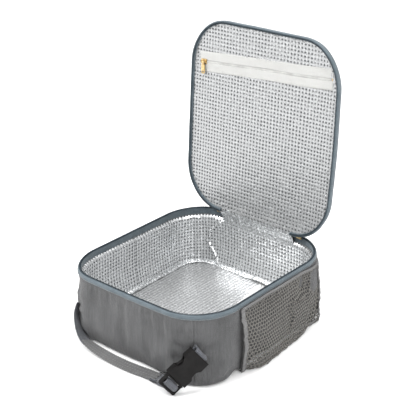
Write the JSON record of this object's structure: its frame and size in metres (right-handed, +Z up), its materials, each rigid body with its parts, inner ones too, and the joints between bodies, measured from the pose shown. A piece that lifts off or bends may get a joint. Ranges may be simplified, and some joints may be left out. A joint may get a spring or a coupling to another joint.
{
  "type": "insulated cooler bag",
  "caption": "Soft insulated lunch cooler with a zip-round hinged lid, embossed foil lining, zipped lid pocket, mesh side pocket and a front carry strap with a side-release buckle.",
  "frame": {"origin": "centre of the bottom face, on the ground", "axes": "+Z up; -Y is the front wall with the carry strap, +Y the lid hinge, +X the mesh pocket"},
  "size_m": [0.2304, 0.2908, 0.3276],
  "materials": {
    "outer_fabric": "woven polyester, matt",
    "band_fabric": "woven polyester, matt, stitched",
    "foil": "embossed foil laminate, glossy and crinkled",
    "foam": "closed-cell foam, matt",
    "zip_tape": "woven zip tape, matt",
    "zip_coil": "nylon coil",
    "brass": "satin plated",
    "mesh": "knitted mesh",
    "binding": "folded binding tape",
    "webbing": "ribbed webbing",
    "buckle_plastic": "moulded acetal, satin",
    "pocket_tape": "smooth woven tape",
    "pocket_coil": "nylon coil",
    "pouch": "thin lining"
  },
  "bodies": {
    "body_shell": {"outer_front": "outer_fabric", "outer_left": "outer_fabric", "outer_right": "outer_fabric", "outer_back": "outer_fabric", "outer_base": "outer_fabric", "foam_walls": "foam", "foam_floor": "foam", "foil_walls": "foil", "foil_floor": "foil", "floor_welt": "foil", "rim_tape": "zip_tape", "rim_coil": "zip_coil", "zip_stops": "brass", "hinge_fabric": "outer_fabric", "hinge_foil": "foil", "mesh_panel": "mesh", "mesh_hem": "binding", "mesh_binding_front": "binding", "mesh_binding_back": "binding"},
    "lid": {"lid_outer": "outer_fabric", "lid_foam": "foam", "lid_foil_lower": "foil", "lid_foil_upper": "foil", "lid_tape": "zip_tape", "lid_coil": "zip_coil", "pocket_tape_lower": "pocket_tape", "pocket_tape_upper": "pocket_tape", "pocket_coil": "pocket_coil", "pocket_stops": "brass", "pocket_pouch": "pouch"},
    "zip_slider_left": {"slider_left": "brass"},
    "zip_pull_left": {"pull_left": "brass"},
    "zip_slider_right": {"slider_right": "brass"},
    "zip_pull_right": {"pull_right": "brass"},
    "pocket_zip_slider": {"pocket_slider": "brass"},
    "pocket_zip_pull": {"pocket_pull": "brass"},
    "handle": {"handle_band": "band_fabric", "handle_core": "foam", "handle_webbing_left": "webbing", "handle_webbing_right": "webbing"},
    "buckle_socket": {"buckle_female": "buckle_plastic", "female_webbing": "webbing"},
    "buckle_plug": {"buckle_male": "buckle_plastic"},
    "plug_arm_upper": {"buckle_arm_upper": "buckle_plastic"},
    "plug_arm_lower": {"buckle_arm_lower": "buckle_plastic"}
  },
  "joints": [
    {"name": "lid_hinge", "type": "hinge", "parent": "body_shell", "child": "lid", "pos_m": [0, 0.114, 0.0938], "axis": [-1, 0, 0], "range_deg": [-94, 84]},
    {"name": "slider_left_travel", "type": "hinge", "parent": "body_shell", "child": "zip_slider_left", "pos_m": [-0.055, 0.0645, 0.086], "axis": [0, 0, 1], "range_deg": [0, 80]},
    {"name": "pull_left_lift", "type": "hinge", "parent": "zip_slider_left", "child": "zip_pull_left", "pos_m": [-0.0623, 0.12244, 0.0829], "axis": [0.9922, 0.125, 0], "range_deg": [0, 110]},
    {"name": "slider_right_travel", "type": "hinge", "parent": "body_shell", "child": "zip_slider_right", "pos_m": [0.055, 0.0645, 0.086], "axis": [0, 0, -1], "range_deg": [0, 50]},
    {"name": "pull_right_lift", "type": "hinge", "parent": "zip_slider_right", "child": "zip_pull_right", "pos_m": [0.0623, 0.12244, 0.0829], "axis": [0.9922, -0.125, 0], "range_deg": [0, 110]},
    {"name": "pocket_slider_travel", "type": "slide", "parent": "lid", "child": "pocket_zip_slider", "axis": [0.9976, 0.0049, 0.0696], "range_m": [0, 0.182]},
    {"name": "pocket_pull_lift", "type": "hinge", "parent": "pocket_zip_slider", "child": "pocket_zip_pull", "pos_m": [-0.09078, 0.12008, 0.27397], "axis": [-0.9976, -0.0049, -0.0696], "range_deg": [0, 150]},
    {"name": "handle_swing", "type": "hinge", "parent": "body_shell", "child": "handle", "pos_m": [0, -0.113, 0.05], "axis": [-1, 0, 0], "range_deg": [0, 115]},
    {"name": "socket_swing", "type": "hinge", "parent": "body_shell", "child": "buckle_socket", "pos_m": [0, -0.113, 0.05], "axis": [-1, 0, 0], "range_deg": [0, 115]},
    {"name": "buckle_release", "type": "slide", "parent": "handle", "child": "buckle_plug", "axis": [-0.3602, -0.6932, -0.6243], "range_m": [0, 0.022], "deforming": ["handle_webbing_right", "buckle_arm_upper", "buckle_arm_lower"]},
    {"name": "arm_upper_press", "type": "hinge", "parent": "buckle_plug", "child": "plug_arm_upper", "pos_m": [0.08242, -0.14202, 0.02563], "axis": [-0.859, 0.5074, -0.0678], "range_deg": [0, 10], "stiffness_Nm_per_rad": 0.5},
    {"name": "arm_lower_press", "type": "hinge", "parent": "buckle_plug", "child": "plug_arm_lower", "pos_m": [0.08839, -0.13362, 0.01287], "axis": [0.859, -0.5074, 0.0678], "range_deg": [0, 10], "stiffness_Nm_per_rad": 0.5}
  ],
  "couplings": [
    {"joint": "socket_swing", "follows": "handle_swing", "ratio": 1}
  ]
}
